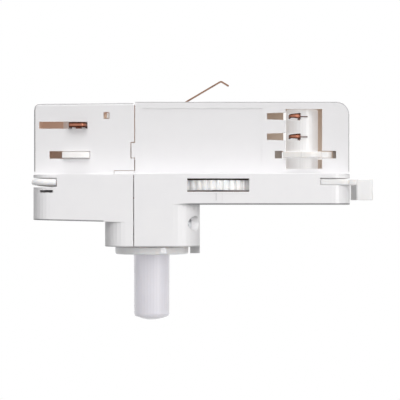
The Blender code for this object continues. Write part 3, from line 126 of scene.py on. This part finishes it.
class Value:
    """A shader socket that takes part in Python expressions."""

    def __init__(self, look, socket):
        self.look, self.socket = look, socket

    def maths(self, operation, first, second=0.0, clamp=False):
        return self.look.node("Math", {"operation": operation, "use_clamp": clamp},
                              {0: first, 1: second})

    def __add__(self, other):
        return self.maths("ADD", self, other)

    def __mul__(self, other):
        return self.maths("MULTIPLY", self, other)

    def __sub__(self, other):
        return self.maths("SUBTRACT", self, other)

    def __rsub__(self, other):
        return self.maths("SUBTRACT", other, self)

    __radd__ = __add__
    __rmul__ = __mul__

    def size(self):
        return self.maths("ABSOLUTE", self)

    def held(self):
        """Kept between 0 and 1."""
        return self.maths("ADD", self, 0.0, clamp=True)

    def step(self, low, high):
        """0 on the low side, 1 on the high side, smooth between."""
        return self.look.node("MapRange", {"interpolation_type": "SMOOTHSTEP"},
                              {"Value": self, "From Min": low, "From Max": high})


class Look:
    """The tree of a material or world, and the one method that adds any other node."""

    def __init__(self, owner):
        self.owner = owner
        owner.use_nodes = True
        self.tree = owner.node_tree
        self.shader = self.tree.nodes.get("Principled BSDF")

    def feed(self, item, slot):
        """Gives a socket a Value, a number, a colour or a vector."""
        if isinstance(item, Value):
            self.tree.links.new(item.socket, slot)
        elif slot.type == "RGBA":
            slot.default_value = (*item, 1.0)
        else:
            slot.default_value = item

    def node(self, kind, settings, sockets, output=0):
        made = self.tree.nodes.new("ShaderNode" + kind)
        for name, value in settings.items():
            setattr(made, name, value)
        for name, value in sockets.items():
            self.feed(value, made.inputs[name])
        return Value(self, made.outputs[output])

    def place(self, stretch=(1.0, 1.0, 1.0)):
        """Object coordinates, stretched: a small factor draws a pattern out along its axis."""
        here = self.node("TexCoord", {}, {}, "Object")
        return self.node("Mapping", {}, {"Vector": here, "Scale": stretch})

    def noise(self, scale, detail, stretch=(1.0, 1.0, 1.0), rough=0.55):
        return self.node("TexNoise", {}, {"Vector": self.place(stretch), "Scale": scale,
                                          "Detail": detail, "Roughness": rough})

    def pits(self, scale):
        return self.node("TexVoronoi", {}, {"Vector": self.place(), "Scale": scale})

    def along(self, axis):
        return self.node("SeparateXYZ", {}, {0: self.place()}, axis)

    def facing(self, axis):
        """How far the surface faces along an axis, from -1 to 1."""
        return self.node("SeparateXYZ", {}, {0: self.node("TexCoord", {}, {}, "Normal")}, axis)

    def mix(self, share, first, second):
        return self.node("Mix", {"data_type": "RGBA"}, {0: share, 6: first, 7: second}, 2)

    def crevice(self, reach):
        """1 deep in a slot or seam narrower than the reach, 0 on open faces and corners."""
        open_share = self.node("AmbientOcclusion", {"samples": 8}, {"Distance": reach}, "AO")
        return open_share.step(0.42, 0.15)

    def edge(self, reach):
        """1 along the outer edges, within the reach, and 0 on flat faces."""
        solid_share = self.node("AmbientOcclusion", {"samples": 8, "inside": True},
                                {"Distance": reach}, "AO")
        return solid_share.step(0.90, 0.45)

    def paint(self, **values):
        for name, value in values.items():
            self.feed(value, self.shader.inputs[name.replace("_", " ")])

    def bump(self, height, distance):
        self.paint(Normal=self.node("Bump", {}, {"Height": height, "Distance": distance}))


def hollow(look):
    """1 on the insert's inner faces, between the side walls, and 0 outside, for painted shade and
    glow.
    """
    side = look.along("Y").size().step(INSIDE_DEPTH + 0.0004, INSIDE_DEPTH)
    up, along = look.along("Z"), look.along("X")
    height = up.step(INSIDE_LOW, INSIDE_LOW + 0.0006) * up.step(INSIDE_HIGH, INSIDE_HIGH - 0.0005)
    left = along.step(INSIDE_LEFT, INSIDE_LEFT + 0.0005)
    right = along.step(INSIDE_RIGHT, INSIDE_RIGHT - 0.0006)
    return side * height * left * right


def inset(look, side, centre, radius, lift=0.0):
    """How far a point on the front lies inside an outline with one rounded upper corner.

    The side is 1 for a corner on the right and -1 for one on the left.
    """
    along = look.along("X") * side - centre[0] * side
    up = look.along("Z") + lift - centre[1]
    reach = look.node("CombineXYZ", {}, {"X": along.maths("MAXIMUM", along, 0.0),
                                         "Z": up.maths("MAXIMUM", up, 0.0)})
    return radius - look.node("VectorMath", {"operation": "LENGTH"}, {0: reach}, "Value")


def rims(look):
    """1 on the fine lines of painted shade where the front turns to the top and ends, 0
    elsewhere.
    """
    along = look.along("X")
    rise = (along * -1.0 - COVER_TOP_START) * COVER_TOP_RISE
    right = inset(look, 1, INSERT_RIGHT_CORNER, INSERT_RIGHT_RADIUS).step(0.00050, 0.00015)
    right = right * along.step(SEAM_X - 0.00005, SEAM_X + 0.00005)
    left = inset(look, -1, INSERT_LEFT_CORNER, INSERT_LEFT_RADIUS, rise).step(0.00060, 0.00015)
    left = left * along.step(SEAM_X + 0.00005, SEAM_X - 0.00005)
    above = look.along("Z").step(SHOULDER_TOP, SHOULDER_TOP + 0.0003)
    front = look.facing("Y").size().step(0.30, 0.60) * above
    return (right * 0.55 + left) * front


def low_edges(look):
    """1 on the fine lines of painted shade along the bottom edges of the base, the cover and the
    boss.
    """
    along, up = look.along("X"), look.along("Z")
    above = up - BASE_UNDER
    base = above.step(0.00070, 0.00035) * above.step(-0.0001, 0.0)
    base = base * along.step(BASE_UNDER_START, BASE_UNDER_FULL)
    fall = (along - COVER_LEFT) * COVER_UNDER_FALL
    cover = (up - COVER_UNDER + fall).step(0.00060, 0.00025)
    cover = cover * along.step(BOSS_LEFT_END + 0.0005, BOSS_LEFT_END - 0.0005)
    boss = (up - BOSS_UNDER).step(0.00050, 0.00020)
    boss = boss * along.step(BOSS_LEFT_END - 0.0005, BOSS_LEFT_END + 0.0005) * 0.5
    return (base + cover + boss).held() * look.facing("Y").size().step(0.02, 0.10)


def wheel_well(look):
    """1 on the ledges and walls behind the selector wheel's windows, which take painted shade."""
    deep, up, along = look.along("Y").size(), look.along("Z"), look.along("X")
    height = up.step(WINDOW_LOW, WINDOW_LOW + 0.0002) * up.step(WINDOW_HIGH, WINDOW_HIGH - 0.0002)
    left = along.step(WINDOW_LEFT, WINDOW_LEFT + 0.0003)
    right = along.step(WINDOW_RIGHT, WINDOW_RIGHT - 0.0003)
    return deep.step(WINDOW_FACE, WINDOW_FACE - 0.00007) * height * left * right


def pointer(look):
    """1 on the two fine lines below the wheel's windows that mark its setting."""
    side = look.along("Y").size().step(0.0178, 0.0179)
    up = look.along("Z")
    height = up.step(POINTER_LOW, POINTER_LOW + 0.0002)
    height = height * up.step(POINTER_HIGH, POINTER_HIGH - 0.0002)
    offset = (look.along("X") - POINTER_X).size() - POINTER_HALF
    line = offset.size().step(0.00030, 0.00010)
    return side * height * line


def parting(look):
    """1 on the fine mould line down the front of the turret."""
    line = (look.along("X") - MOULD_LINE_X).size().step(0.00018, 0.00006)
    return line * look.facing("Y").step(-0.5, -0.8)


def recess(look):
    """1 on the floor of the cam slot's shallow ends, which takes painted shade, 0 elsewhere."""
    deep, up = look.along("Y"), look.along("Z")
    floor = deep.step(RECESS_Y - 0.00015, RECESS_Y - 0.00005)
    floor = floor * deep.step(RECESS_Y + 0.00015, RECESS_Y + 0.00005)
    height = up.step(RECESS_LOW, RECESS_LOW + 0.0001)
    height = height * up.step(RECESS_HIGH, RECESS_HIGH - 0.0001)
    return floor * height * look.along("X").step(RECESS_X, RECESS_X + 0.0010)


def moulded(name, colour, shade, roughness, grain=2600.0, inner=None, glow=None, depth=0.0,
            worn=0.0, seams=0.0, coat=0.0, line=0.0, fade=0.0):
    """Moulded plastic: faint flow marks, a spark-eroded grain and painted shade along the edges.

    With an inner colour, the faces inside the insert take that colour as painted shade, and a
    painted glow that stands in for light through thin walls; the fade takes the glow off their
    lower part. Without one, the whole piece takes the painted glow. The depth is how far light
    travels in a solid piece. Painted shade darkens narrow gaps and the edges by the given
    strengths, and the edge strength also turns on the pointer marks, the shade of the wheel well
    and the shade of the cam slot's shallow ends. The line is the strength of the mould line.
    """
    look = Look(bpy.data.materials.new(name))
    flow = look.noise(28.0, 3.0, (0.35, 1.0, 1.6))
    haze = look.noise(150.0, 4.0)
    grains = look.noise(grain, 2.0)
    pits = look.pits(grain * 0.45).step(0.05, 0.30)
    share = (flow.step(0.30, 0.75) * 0.6 + haze.step(0.40, 0.80) * 0.4).held()
    skin = look.mix(share, colour, shade)
    if worn > 0.0:
        grey = tuple(part * 0.50 for part in shade)
        if inner is None:
            # Painted shade along the outer edges, found by ambient occlusion
            skin = look.mix(look.edge(0.0006) * worn, skin, grey)
        else:
            # Painted shade: the insert, above the shoulder, a little darker than the base
            skin = look.mix(look.along("Z").step(0.0, 0.0005) * 0.20, skin, grey)
            # Painted shade: fine grey lines along the front's top and end edges
            skin = look.mix(rims(look) * worn, skin, EDGE_SHADE_GREY)
            # Painted shade: fine grey lines along the bottom edges of the base, cover and boss
            skin = look.mix(low_edges(look) * worn, skin, LOW_EDGE_SHADE_GREY)
    if inner is not None:
        inside = hollow(look)
        # Painted warm shade on the faces inside the insert
        skin = look.mix(inside, skin, inner)
        if line > 0.0:
            skin = look.mix(parting(look) * line, skin, LINE_GREY)
        if worn > 0.0:
            skin = look.mix(pointer(look) * 0.35, skin, grey)
            # Painted shade: dark brown on the walls behind the wheel's windows
            skin = look.mix(wheel_well(look), skin, WELL_SHADE_BROWN)
            # Painted shade: brown on the floor of the cam slot's shallow ends, which takes no
            # glow
            floor = recess(look)
            skin = look.mix(floor, skin, RECESS_SHADE_BROWN)
            inside = inside * (1.0 - floor)
        # Painted glow on the faces inside the insert, standing in for light through thin walls,
        # less on their lower part
        lit = 1.0 - look.along("Z").step(GLOW_HIGH, GLOW_LOW) * fade
        glow = look.mix(inside * lit, BLACK, glow)
    # Painted glow: a piece without inner faces glows all over
    if glow is not None:
        look.paint(Emission_Color=glow, Emission_Strength=1.0)
    # Painted shade, brown, in narrow gaps and slots found by ambient occlusion
    if seams > 0.0:
        skin = look.mix(look.crevice(0.0012) * seams, skin, CREVICE_SHADE_BROWN)
    look.paint(Base_Color=skin, Roughness=haze * 0.14 + grains * 0.05 + (roughness - 0.095),
               Metallic=0.0, Specular_IOR_Level=0.50, Coat_Weight=coat, Coat_Roughness=0.2)
    if depth > 0.0:
        look.paint(Subsurface_Weight=0.8, Subsurface_Radius=(depth, depth * 0.9, depth * 0.8),
                   Subsurface_Scale=1.0)
    look.bump(grains * 0.6 + pits * 0.4 + flow * 0.5, 0.000012)
    return look.owner


def metal(name, bright, dull, roughness, stretch, tarnish=0.5, centres=()):
    """Rolled or drawn metal: fine lines along the strip, with a little tarnish.

    Where centres are given, a strip at one of those heights takes painted shade towards its two
    edges and its tip, which leaves a painted highlight along its middle.
    """
    look = Look(bpy.data.materials.new(name))
    lines = look.noise(900.0, 3.0, stretch, 0.7)
    patches = look.noise(190.0, 3.0, rough=0.6).step(0.42, 0.70)
    share = (patches * tarnish + (lines - 0.5) * 0.5).held()
    if centres:
        # Painted shade towards each contact strip's top and bottom edges and its tip
        edges = 1.0
        for centre in centres:
            edges = (look.along("Z") - centre).size().step(0.00020, 0.00060) * edges
        tips = look.along("X").step(CONTACT_TIP_X, CONTACT_TIP_X + 0.0005)
        share = (share * 0.6 + edges * 0.9 + tips * 0.8).held()
    look.paint(Base_Color=look.mix(share, bright, dull), Metallic=1.0,
               Roughness=lines * 0.20 + patches * 0.10 + (roughness - 0.10))
    look.bump(lines, 0.000010)
    return look.owner


def make_looks():
    """Every material by its name, which is a slot of the record or a name in OWN_LOOKS."""
    shell = ((0.83, 0.822, 0.828), (0.795, 0.787, 0.80), 0.34)
    strip, upright = (0.10, 1.0, 1.0), (1.0, 1.0, 0.12)
    looks = {}
    # Each glow below is painted light, and each inner colour is painted shade inside the insert
    plastics = (
        ("housing_white", *shell, {"inner": (0.70, 0.59, 0.50), "glow": (0.050, 0.039, 0.030),
                                   "worn": 0.9, "seams": 0.35}),
        ("cover_white", *shell, {"inner": (0.64, 0.50, 0.41), "glow": (0.130, 0.088, 0.068),
                                 "worn": 0.9, "seams": 0.35, "fade": 0.8}),
        ("moving_white", (0.70, 0.695, 0.69), (0.68, 0.67, 0.665), 0.36,
         {"glow": (0.150, 0.150, 0.151), "depth": 0.002, "worn": 0.4}),
        ("bright_white", (0.84, 0.835, 0.835), (0.82, 0.81, 0.81), 0.36,
         {"glow": (0.100, 0.100, 0.101), "depth": 0.001, "seams": 0.6, "coat": 0.5}),
        ("rotor_white", (0.71, 0.70, 0.69), (0.69, 0.68, 0.67), 0.36,
         {"inner": (0.44, 0.44, 0.44), "glow": (0.42, 0.415, 0.415), "depth": 0.003,
          "line": 0.25}),
        ("wheel_white", (0.84, 0.835, 0.83), (0.82, 0.815, 0.81), 0.34,
         {"glow": (0.125, 0.125, 0.125), "depth": 0.001, "seams": 0.5}),
        ("cap_white", (0.56, 0.55, 0.575), (0.545, 0.535, 0.56), 0.38,
         {"grain": 1700.0, "glow": (0.225, 0.218, 0.242), "depth": 0.001, "coat": 1.0}),
        ("shade_brown", (0.10, 0.055, 0.04), (0.07, 0.04, 0.03), 0.5, {}),
        ("block_dark", (0.17, 0.165, 0.16), (0.12, 0.115, 0.115), 0.48, {}),
    )
    for name, colour, shade, roughness, extras in plastics:
        looks[name] = moulded(name, colour, shade, roughness, **extras)
    metals = (
        ("copper", (0.46, 0.19, 0.12), (0.12, 0.04, 0.025), 0.28, strip, {"tarnish": 0.9}),
        ("contact_copper", (0.40, 0.17, 0.11), (0.045, 0.013, 0.008), 0.50, strip,
         {"centres": CONTACT_HEIGHTS}),
        ("bronze", (0.30, 0.16, 0.10), (0.12, 0.065, 0.045), 0.36, (0.12, 1.0, 1.0), {}),
        ("brass", (0.80, 0.64, 0.34), (0.55, 0.42, 0.20), 0.30, (1.0, 0.15, 1.0), {}),
        ("dark_steel", (0.30, 0.31, 0.33), (0.17, 0.175, 0.19), 0.40, upright, {}),
        ("steel", (0.70, 0.71, 0.73), (0.45, 0.46, 0.48), 0.28, upright, {"tarnish": 0.35}),
    )
    for name, bright, dull, roughness, stretch, extras in metals:
        looks[name] = metal(name, bright, dull, roughness, stretch, **extras)
    return looks


def geometry_tree(name, sizes):
    """An empty Geometry Nodes tree with a named number input for each size."""
    tree = bpy.data.node_groups.new(name, "GeometryNodeTree")
    for size in sizes:
        tree.interface.new_socket(size, in_out="INPUT", socket_type="NodeSocketFloat")
    tree.interface.new_socket("Geometry", in_out="OUTPUT", socket_type="NodeSocketGeometry")
    return tree


def finish_tree(tree, mesh, material):
    """Ends a tree: instances made real, then the material."""
    whole = tree.nodes.new("GeometryNodeRealizeInstances")
    paint = tree.nodes.new("GeometryNodeSetMaterial")
    paint.inputs["Material"].default_value = material
    out = tree.nodes.new("NodeGroupOutput")
    tree.links.new(mesh, whole.inputs["Geometry"])
    tree.links.new(whole.outputs["Geometry"], paint.inputs["Geometry"])
    tree.links.new(paint.outputs["Geometry"], out.inputs["Geometry"])


def thread_tree(material):
    """A helical ridge swept round a stem, from its radius, height, turns and ridge size."""
    tree = geometry_tree("thread", ("Radius", "Height", "Turns", "Ridge"))
    nodes, link = tree.nodes, tree.links.new
    sizes = nodes.new("NodeGroupInput").outputs
    spiral = nodes.new("GeometryNodeCurveSpiral")
    spiral.inputs["Resolution"].default_value = 28
    link(sizes["Radius"], spiral.inputs["Start Radius"])
    link(sizes["Radius"], spiral.inputs["End Radius"])
    link(sizes["Height"], spiral.inputs["Height"])
    link(sizes["Turns"], spiral.inputs["Rotations"])
    ridge = nodes.new("GeometryNodeCurvePrimitiveCircle")
    ridge.inputs["Resolution"].default_value = 4
    link(sizes["Ridge"], ridge.inputs["Radius"])
    sweep = nodes.new("GeometryNodeCurveToMesh")
    sweep.inputs["Fill Caps"].default_value = True
    link(spiral.outputs["Curve"], sweep.inputs["Curve"])
    link(ridge.outputs["Curve"], sweep.inputs["Profile Curve"])
    finish_tree(tree, sweep.outputs["Mesh"], material)
    return tree


def rib_tree(material):
    """A straight rib, from its length, depth and height."""
    tree = geometry_tree("rib", ("Length", "Depth", "Height"))
    nodes, link = tree.nodes, tree.links.new
    sizes = nodes.new("NodeGroupInput").outputs
    size = nodes.new("ShaderNodeCombineXYZ")
    for part, axis in (("Length", "X"), ("Depth", "Y"), ("Height", "Z")):
        link(sizes[part], size.inputs[axis])
    block = nodes.new("GeometryNodeMeshCube")
    link(size.outputs[0], block.inputs["Size"])
    finish_tree(tree, block.outputs["Mesh"], material)
    return tree


def grown(name, tree, sizes, place, material):
    """A piece made by a Geometry Nodes tree, turned into a plain mesh at its place."""
    host = bpy.data.objects.new(name, bpy.data.meshes.new(name))
    bpy.context.scene.collection.objects.link(host)
    grower = host.modifiers.new("Grow", "NODES")
    grower.node_group = tree
    for item in tree.interface.items_tree:
        if item.in_out == "INPUT":
            grower[item.identifier] = sizes[item.name]
    graph = bpy.context.evaluated_depsgraph_get()
    mesh = bpy.data.meshes.new_from_object(host.evaluated_get(graph))
    host.modifiers.clear()
    for vert in mesh.vertices:
        vert.co += Vector(place)
    host.data = mesh
    mesh.materials.clear()
    mesh.materials.append(material)
    return host


def paint_nodes(looks):
    """Each CAD node takes the look of its slot in the record, or its own."""
    for entry in frame["record"]["subparts"]:
        node = frame["nodes"][entry["node"]]
        finish = OWN_LOOKS.get(entry["node"], entry["material_slot"])
        node.data.materials.clear()
        node.data.materials.append(looks[finish])


def make_stem_thread(looks):
    low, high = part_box("threaded_nipple")
    radius = (high.x - low.x) / 2
    height = high.z - low.z - 2 * THREAD_END
    sizes = {"Radius": radius - THREAD_SINK, "Height": height, "Turns": height / THREAD_PITCH,
             "Ridge": THREAD_RIDGE}
    ridge = grown("stem_thread", thread_tree(looks["steel"]), sizes,
                  (0.0, 0.0, low.z + THREAD_END), looks["steel"])
    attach(ridge, "housing")


def make_ribs(looks):
    """Low ribs inside the base, coloured as painted shade, that keep light from passing above and
    below the wheel.
    """
    finish = looks["shade_brown"]
    tree = rib_tree(finish)
    for level, span in RIBS.items():
        sizes = {"Length": RIB_LENGTH, "Depth": span["depth"], "Height": span["height"]}
        for side, sign in (("front", -1), ("rear", 1)):
            rib = grown("light_rib_%s_%s" % (level, side), tree, sizes,
                        (WHEEL_MIDDLE, sign * span["distance"], span["up"]), finish)
            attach(rib, "housing")


def shown_white(look, background, share):
    """Mixes in plain white for what the camera, gloss and glass see of a backdrop."""
    rays = [look.node("LightPath", {}, {}, "Is " + kind + " Ray")
            for kind in ("Camera", "Glossy", "Transmission")]
    seen = (rays[0] + rays[1] + rays[2]).held() * share
    return look.node("MixShader", {}, {0: seen, 1: background[0], 2: background[1]})


def make_stage():
    """A wide pale floor, white to the camera, and soft studio light."""
    look = Look(bpy.data.materials.new("floor"))
    look.paint(Base_Color=(0.20, 0.20, 0.20), Roughness=0.9)
    pair = (Value(look, look.shader.outputs[0]), look.node("Emission", {}, {"Strength": 1.0}))
    far = look.node("VectorMath", {"operation": "LENGTH"}, {0: look.place()}, "Value")
    mixed = shown_white(look, pair, far.step(0.12, 0.21) * 0.25 + 0.75)
    look.feed(mixed, look.tree.nodes["Material Output"].inputs["Surface"])
    mesh = bpy.data.meshes.new("floor")
    corners = [(-3, -3), (3, -3), (3, 3), (-3, 3)]
    mesh.from_pydata([(x, y, FLOOR_Z) for x, y in corners], [], [(0, 1, 2, 3)])
    mesh.materials.append(look.owner)
    floor = bpy.data.objects.new("floor", mesh)
    bpy.context.scene.collection.objects.link(floor)

    world = bpy.data.worlds.new("studio")
    bpy.context.scene.world = world
    sky = Look(world)
    pair = (sky.node("Background", {}, {"Color": (0.98, 0.96, 1.0), "Strength": 0.07}),
            sky.node("Background", {}, {"Color": (1.0, 1.0, 1.0), "Strength": 1.0}))
    sky.feed(shown_white(sky, pair, 1.0), sky.tree.nodes["World Output"].inputs["Surface"])

    softbox("front_top", (0.10, -1.10, 0.72), (1.0, 0.7), 8.9, shine=False)
    softbox("front", (0.15, -1.30, 0.00), (1.4, 0.8), 5.0, shine=False)
    softbox("key_right", (0.80, -0.95, 0.08), (0.12, 0.6), 5.0, (1.0, 0.99, 0.98))
    softbox("fill_left", (-1.00, -0.30, 0.00), (0.2, 0.6), 0.2, (0.98, 0.99, 1.0))
    softbox("top", (0.0, -0.12, 0.90), (0.9, 0.5), 6.4)
    softbox("rear", (0.0, 1.30, 0.45), (1.4, 0.8), 5.0, shine=False)


make_camera()
make_stage()
bpy.context.scene.view_settings.view_transform = "Standard"
materials = make_looks()
paint_nodes(materials)
make_stem_thread(materials)
make_ribs(materials)
